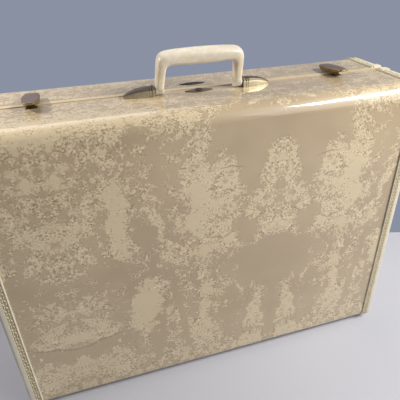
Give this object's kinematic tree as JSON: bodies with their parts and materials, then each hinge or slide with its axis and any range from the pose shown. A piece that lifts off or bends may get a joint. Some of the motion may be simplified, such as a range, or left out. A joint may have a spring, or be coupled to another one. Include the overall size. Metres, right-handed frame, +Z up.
{
  "type": "suitcase",
  "caption": "Tapered hard suitcase covered in mottled tan vinyl, with stitched cream bindings, a folding moulded handle, snap latches and a key lock; it opens on bottom hinges.",
  "frame": {"origin": "on the floor, under the middle of the seam between the two halves", "axes": "+X along the case to its right-hand end seen from the front, +Y from the front half to the rear half, +Z up to the handle"},
  "size_m": [0.63, 0.2156, 0.5198],
  "materials": {
    "covering": "satin mottled vinyl on board",
    "binding": "smooth cream binding, stitched",
    "front_rim": "satin",
    "rear_rim": "satin",
    "lining": "satin weave",
    "brass": "worn polish",
    "bronze": "tarnished",
    "steel": "satin",
    "ivory": "gloss",
    "black": "satin"
  },
  "bodies": {
    "body": {"body_shell": "covering", "body_end_left": "covering", "body_end_right": "covering", "body_binding_left": "binding", "body_binding_right": "binding", "body_clips": "binding", "body_rim": "front_rim", "body_lining": "lining", "body_feet": "brass", "hinge_leaf_body_left": "brass", "hinge_leaf_body_right": "brass", "hinge_pin_left": "steel", "hinge_pin_right": "steel", "handle_mount_left": "brass", "handle_mount_right": "brass", "handle_pin_left": "steel", "handle_pin_right": "steel", "mount_rivets": "brass", "lock_plate": "bronze", "lock_case": "steel", "latch_keeper_left": "brass", "latch_keeper_right": "brass"},
    "lid": {"lid_shell": "covering", "lid_end_left": "covering", "lid_end_right": "covering", "lid_binding_left": "binding", "lid_binding_right": "binding", "lid_clips": "binding", "lid_rim": "rear_rim", "lid_lining": "lining", "lid_feet": "brass", "hinge_leaf_lid_left": "brass", "hinge_leaf_lid_right": "brass", "lock_strike": "steel", "strike_cover": "black", "latch_bracket_left": "steel", "latch_bracket_right": "steel", "latch_pin_left": "steel", "latch_pin_right": "steel", "latch_spring_left": "steel", "latch_spring_right": "steel"},
    "handle": {"handle_grip": "ivory"},
    "latch_left": {"latch_cover_left": "bronze"},
    "latch_right": {"latch_cover_right": "bronze"},
    "lock_cylinder": {"lock_cylinder": "bronze"}
  },
  "joints": [
    {"name": "lid_hinge", "type": "hinge", "parent": "body", "child": "lid", "pos_m": [0, 0, 0.004], "axis": [-1, 0, 0], "range_deg": [0, 170]},
    {"name": "handle_fold", "type": "hinge", "parent": "body", "child": "handle", "pos_m": [0, -0.01, 0.467], "axis": [1, 0, 0], "range_deg": [-95, 65]},
    {"name": "latch_left_lift", "type": "hinge", "parent": "lid", "child": "latch_left", "pos_m": [-0.22, 0.025, 0.4645], "axis": [-1, 0, 0], "range_deg": [-5, 35], "stiffness_Nm_per_rad": 0.3},
    {"name": "latch_right_lift", "type": "hinge", "parent": "lid", "child": "latch_right", "pos_m": [0.22, 0.025, 0.4645], "axis": [-1, 0, 0], "range_deg": [-5, 35], "stiffness_Nm_per_rad": 0.3},
    {"name": "lock_turn", "type": "hinge", "parent": "body", "child": "lock_cylinder", "pos_m": [0, -0.01, 0.459], "axis": [0, 0, 1], "range_deg": [0, 180]}
  ]
}
